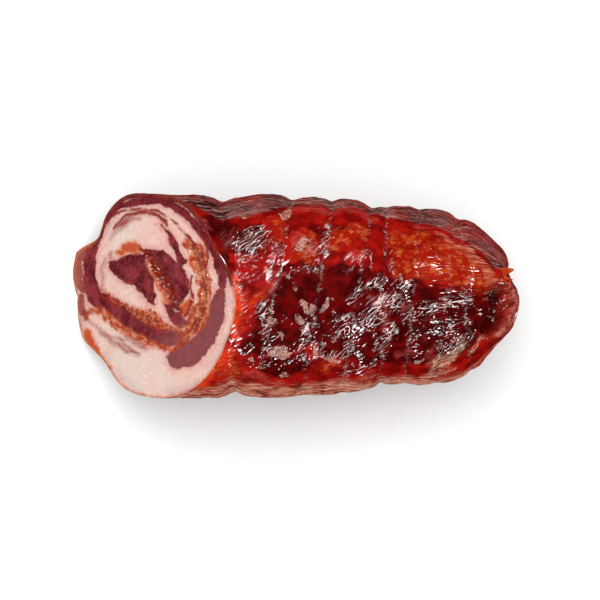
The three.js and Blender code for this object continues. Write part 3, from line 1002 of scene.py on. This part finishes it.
def casing_look():
    nodes = Nodes("glossy_casing")
    field, noise, ragged, mix = nodes.field, nodes.noise, nodes.ragged, nodes.mix
    level, steep, busy, height = map(field, ("level", "steep", "busy", "height"))
    crest = height.step(0.03, 0.28)
    orange = ragged("orange", 240, 5).step(-3, 3)
    dark = ragged("dark", 260, 4).step(-1.6, 1.8)
    film = ragged("film", 300, 4).step(-1.5, 2.5)
    pale = ragged("pale", 300, 4).step(-1.5, 2)
    slant = nodes.blend(steep, nodes.streaks(36, 6, 1.9, 0.5), nodes.streaks(56, 6, 1.9, 0.5))
    streaks = nodes.blend(level, slant, nodes.streaks(2, 11, 1.8, 1.0))
    lines = streaks.step(0.3, 0.95)

    # what shows through the film, and the film where it is cloudy
    meat = mix(noise(120, 4).step(0.38, 0.62), DEEP_RED, RED)
    fat = mix(noise(260, 4, 0.65).step(0.46, 0.66), ORANGE, AMBER)
    # near the cut the fat is partly painted as a glow of light through it
    glow = field("from_cut").step(18, 3) * noise(230, 4, 0.65).step(0.34, 0.52)
    lean = mix(noise(150, 4).step(0.42, 0.68), BLACK_RED, BURGUNDY)
    thread = streaks.step(0.72, 1.0) * noise(260, 3).step(0.4, 0.6)
    colour = nodes.coats(
        meat,
        (orange * 0.9, mix(glow, fat, GLOW)),
        (dark * 0.97, lean),
        # painted shade: valleys of the streaks darker
        (streaks.step(0.2, -0.9) * 0.5, DEEP_RED),
        (thread * orange * 0.4, FILM_LINE),
        (film * (lines * 0.5 + 0.17), FILM),
        (pale * (lines * 0.7 + 0.12), mix(steep, PALE, CREAM)),
        (pale * crest * 0.7, PALE_LINE),
    )

    # the near side painted pale (pale film and light reflected from the floor) and the far side in
    # painted shade, with pale streaks of painted reflection
    near = field("near")
    patchy = noise(100, 4, 0.6).step(0.42, 0.56)
    strands = nodes.streaks(4, 20, 2.2, 2.0, 6)
    brown = mix(noise(60, 3).step(0.42, 0.6), BACK_BROWN, BACK_RED)
    brown = mix(noise(90, 4, 0.6).step(0.36, 0.56), BACK_DARK, brown)
    flow = nodes.streaks(3, 28, 1.8, 3.0, 9)
    back = nodes.coats(
        brown, (flow.step(0.1, -0.8), BACK_DARK), (flow.step(0.7, 1.0) * 0.6, BACK_LINE),
    )

    # painted grey glints, string lines with painted shade in their grooves and painted glints on
    # their puckers, painted shade in hollows, and the fold at the end with painted shade in its
    # pocket
    # painted sheen: crests a little paler, partly dry film and partly standing in for glints
    thin = crest * busy * noise(420, 2).step(0.42, 0.62)
    painted_glints = ragged("glint", 260, 5).step(0.6, 3.2) * streaks.step(0.68, 0.88)
    dashes = field("knots") * noise(450, 2).step(0.46, 0.58)
    painted_hollow_shade = height.step(-0.02, -0.2)
    wall = mix(noise(300, 3).step(0.4, 0.62), DEEP_RED, WALL_RED)
    edging = field("lip") * noise(500, 2).step(0.4, 0.6)
    colour = nodes.coats(
        colour,
        # painted: the near side pale with reflected floor light, the far side in shade
        (near * (patchy * 0.8 + 0.1), PALE),
        (near * strands.step(0.6, 0.95) * 0.75, PALE_LINE),
        (field("back") * 0.9, back),
        (thin * 0.05, FILM_LINE),
        # painted glints in the glint clusters
        (painted_glints * 0.75, PAINTED_GLINT_GREY),
        # painted shade in the grooves of the string lines
        (field("string") * 0.7, BLACK_RED),
        # painted glints on the puckers of the string lines
        (dashes * 0.65, PAINTED_GLINT_GREY),
        # painted shade in the hollows of the relief
        (painted_hollow_shade * (0.6 - orange * 0.35), BLACK_RED),
        (field("wall") * 0.85, wall),
        # painted shade in the fold's pocket
        (field("pocket") * 0.95, BLACK_RED),
        (edging * 0.45, FILM_LINE),
    )

    # dry flakes, thin enough in places to see through
    flake = ragged("flake", 900, 2.6).step(-0.2, 0.5)
    lace = nodes.cells(620).step(0.13, 0.02)
    fibres = nodes.math("MAXIMUM", lace, field("crumple").step(0.5, 1.0) * 0.6)
    thinner = noise(350, 2).step(0.35, 0.6, 0.1, 0.5)
    dry = mix(fibres, FLAKE_DARK, FLAKE_PALE)
    colour = mix(flake * (thinner + fibres * 0.5), colour, dry)

    gloss = height.step(-0.05, 0.12) * busy
    calm = nodes.math("MAXIMUM", busy.step(0.0, 0.8, 0.05, 1.0), orange * level * 0.9)
    return nodes.finish(
        Base_Color=colour, Roughness=gloss.step(0.0, 0.45, 0.085, 0.055) + flake * 0.3,
        Normal=nodes.bump(streaks * calm, 0.00015, 0.7), Specular_IOR_Level=0.5,
        Subsurface_Weight=0.05, Subsurface_Scale=0.002, Subsurface_Radius=(1.0, 0.2, 0.1),
    )


PAINTED_GLINT_WHITE = (0.95, 0.9, 0.86)
FAT_CREAM = (0.56, 0.45, 0.385)
FAT_PINK = (0.63, 0.35, 0.295)
FAT_ROSE = (0.42, 0.13, 0.11)
PAINTED_SHADE_LILAC = (0.4, 0.25, 0.26)
LEAN_DARK = (0.085, 0.002, 0.006)
LEAN_ROSE = (0.2, 0.016, 0.023)
LEAN_LINE = (0.36, 0.12, 0.11)
LEAN_DUSTY = (0.2, 0.055, 0.058)
GOLD = (0.5, 0.17, 0.07)
PAPRIKA = (0.33, 0.035, 0.009)
RUST = (0.13, 0.006, 0.004)
RUST_LINE = (0.2, 0.012, 0.008)
STAIN = (0.41, 0.048, 0.009)
RIND = (0.42, 0.09, 0.015)
TISSUE = (0.27, 0.06, 0.05)
FLAP = (0.2, 0.022, 0.016)
FLAP_RIM = (0.36, 0.09, 0.035)


def cut_look():
    nodes = Nodes("cut_meat")
    field, noise, ragged, mix = nodes.field, nodes.noise, nodes.ragged, nodes.mix
    layers, edge, clumps, fibres = map(field, ("layers", "edge", "clumps", "fibres"))
    lean = ragged("lean", 700, 0.9) + layers * 0.35
    in_lean = lean.step(-0.3, 0.35)
    near = field("lean").step(-9, -1)
    # painted highlights: tiny white specks stand in for wet glints on the fat
    painted_glint_specks = noise(1500, 1).step(0.62, 0.7) * noise(110, 3).step(0.44, 0.62)
    # painted shade: the fat darker and lilac toward the rim
    shaded = edge.step(9, 1) * noise(75, 2).step(0.38, 0.58)
    faint = ragged("faint", 500, 2.4).step(-1.6, 1.6)
    fat = nodes.coats(
        FAT_CREAM,
        (noise(45, 3).step(0.4, 0.6) * 0.55, FAT_PINK),
        (near * 0.45, FAT_PINK),
        (layers.step(0.0, 0.6) * near * 0.4, FAT_ROSE),
        (lean.step(-3.4, 0.2) * 0.5, FAT_ROSE),
        (field("sinew") * near * 0.3, FAT_ROSE),
        (noise(900, 2).step(0.42, 0.62) * 0.2, FAT_PINK),
        (painted_glint_specks * 0.7, PAINTED_GLINT_WHITE),
        (shaded * 0.55, PAINTED_SHADE_LILAC),
        (faint * (layers.step(-0.4, 0.5) * 0.45 + 0.55), TISSUE),
    )
    meat = nodes.coats(
        LEAN_DARK,
        (noise(130, 4).step(0.36, 0.64), LEAN_ROSE),
        (noise(950, 2).step(0.48, 0.66) * 0.16, LEAN_LINE),
        (layers.step(0.2, 0.7) * 0.25, LEAN_LINE),
        (edge.step(8, 2) * 0.55, LEAN_DARK),
        (field("dusty") * 0.72, LEAN_DUSTY),
    )
    border = lean.step(-0.7, -0.1) * lean.step(0.6, 0.1) * noise(160, 2).step(0.42, 0.6)

    # paprika seeps into the fat round the seams
    halo = ragged("spice", 300, 3).step(-2.6, 0.2) * 0.5
    stain = ragged("stain", 400, 2.4).step(-1.8, 0.9)
    stain_colour = mix(ragged("stain", 300, 2.5).step(-0.6, 1.3), GOLD, STAIN)

    # the spice itself, in clumps and fibres
    spice = (ragged("spice", 600, 1.6) + clumps * 1.6).step(-1.5, 0.6)
    fine_clumps = clumps + noise(900, 2) * 0.8
    inmost = (field("spice") + fine_clumps * 1.2).step(1.4, 3.0) * fibres.step(-0.6, 0.1)
    spice_colour = nodes.coats(
        GOLD,
        (fine_clumps.step(-0.1, 0.8), PAPRIKA),
        (fibres.step(0.0, 0.5) * 0.7, RUST),
        (inmost * 0.85, RUST),
    )
    fold = ragged("fold", 800, 2.2).step(-0.8, 0.7)
    fold_colour = mix(fine_clumps.step(-0.3, 0.5), PAPRIKA, RUST)

    flap = ragged("skin_flap", 400, 1.2).step(-0.5, 0.7)
    flap_colour = mix(edge.step(3.2, 0.6), FLAP, FLAP_RIM)
    flap_colour = mix(layers.step(0, 0.6) * 0.25, flap_colour, FAT_ROSE)
    rind = ragged("edge", 240, -4.5).step(2.5, -0.8)
    colour = nodes.coats(
        fat,
        (in_lean, meat),
        (border * 0.6, RUST),
        (halo * (1.0 - in_lean), STAIN),
        (stain * 0.97, stain_colour),
        (spice * 0.92, spice_colour),
        (field("seam") * 0.95, RUST_LINE),
        (fold * 0.95, fold_colour),
        (flap * 0.9, flap_colour),
        (rind * (0.85 - field("bare") * 0.6), RIND),
    )
    wet = nodes.math("MAXIMUM", spice, fold)
    return nodes.finish(
        Base_Color=colour, Roughness=noise(500, 3).step(0.3, 0.7, 0.2, 0.32) - wet * 0.1,
        Normal=nodes.bump(noise(1100, 2, 0.5), 0.00015, 0.6), Specular_IOR_Level=0.5,
        Subsurface_Weight=0.15, Subsurface_Scale=0.002, Subsurface_Radius=(1.0, 0.35, 0.25),
    )


def torn_look():
    nodes = Nodes("torn_casing")
    amber = nodes.mix(nodes.noise(500, 3).step(0.4, 0.65), RED, AMBER)
    colour = nodes.mix(nodes.field("tint") * 0.7, amber, AMBER)
    crumple = nodes.bump(nodes.noise(1200, 3), 0.0002, 0.7)
    return nodes.finish(Base_Color=colour, Roughness=0.09, Normal=crumple, Specular_IOR_Level=0.3)


def floor_look():
    nodes = Nodes("white_sweep")
    shade = nodes.mix(nodes.noise(3, 2), (0.73, 0.73, 0.725), (0.75, 0.75, 0.745))
    return nodes.finish(Base_Color=shade, Roughness=0.9)


# Surroundings

FLOOR_SIZE = 6
FRAME_WIDTH = 0.318  # what the photograph's frame covers at the roll's middle height
ROLL_MIDDLE = 0.052
CAMERA_HEIGHT = 6.0
CAMERA_PLACE = (0.0029, -0.0024)
CAMERA_REACH = 20
SENSOR = 36.0
DAYLIGHT = 1.18

# Large lights that shade the roll: place, height aimed at, size and power
SOFT_LIGHTS = {
    "soft_key": ((0, 0.5, 1.3), 0.03, 1.2, 12),
    "soft_fill": ((0, -0.95, 0.8), 0.05, 0.8, 2.2),
}

# Small lights seen only in reflections: bearing, angle from above and power
GLINT_LIGHTS = [
    (118, 62, 5), (-58, 46, 6.5), (-100, 66, 4), (75, 40, 1.6), (10, 55, 4.5), (-125, 40, 5),
    (172, 46, 6.5), (140, 48, 2.5),
]
GLINT_DISTANCE = 1.3
GLINT_AIM = 0.05
GLINT_SIZE = 0.14


def add_floor():
    bpy.ops.mesh.primitive_plane_add(size=FLOOR_SIZE)
    floor = bpy.context.object
    floor.name = "floor"
    floor.data.materials.append(floor_look())
    floor.visible_glossy = False


def add_light(name, place, aim_height, size, power, in_reflections):
    data = bpy.data.lights.new(name, "AREA")
    data.shape = "DISK"
    data.size = size
    data.energy = power
    light = bpy.data.objects.new(name, data)
    light.location = place
    way = Vector((0, 0, aim_height)) - Vector(place)
    light.rotation_euler = way.to_track_quat("-Z", "Y").to_euler()
    light.visible_glossy = in_reflections
    light.visible_diffuse = not in_reflections
    bpy.context.scene.collection.objects.link(light)


def add_camera():
    data = bpy.data.cameras.new("camera")
    data.sensor_width = SENSOR
    data.lens = SENSOR * (CAMERA_HEIGHT - ROLL_MIDDLE) / FRAME_WIDTH
    data.clip_end = CAMERA_REACH
    camera = bpy.data.objects.new("camera", data)
    camera.location = (*CAMERA_PLACE, CAMERA_HEIGHT)
    bpy.context.scene.collection.objects.link(camera)
    bpy.context.scene.camera = camera


def add_surroundings():
    scene = bpy.context.scene
    world = bpy.data.worlds.new("studio")
    world.use_nodes = True
    background = world.node_tree.nodes["Background"]
    background.inputs["Color"].default_value = (1, 1, 1, 1)
    background.inputs["Strength"].default_value = DAYLIGHT
    scene.world = world
    world.cycles_visibility.glossy = False
    scene.view_settings.view_transform = "Standard"
    scene.view_settings.look = "None"
    for name, light in SOFT_LIGHTS.items():
        add_light(name, *light, False)
    for number, (bearing, from_above, power) in enumerate(GLINT_LIGHTS, 1):
        way = math.radians(bearing)
        tilt = math.radians(from_above)
        place = GLINT_DISTANCE * Vector((math.sin(tilt) * math.cos(way),
                                         math.sin(tilt) * math.sin(way), math.cos(tilt)))
        add_light(f"glint_{number}", place, GLINT_AIM, GLINT_SIZE, power, True)


def main():
    made, shift = build_skin(cut_look(), casing_look())
    made.append(build_tatters(shift, torn_look()))
    for piece in made:
        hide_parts("bacon_roll")
        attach(piece, "root")
    add_floor()
    add_camera()
    add_surroundings()


main()
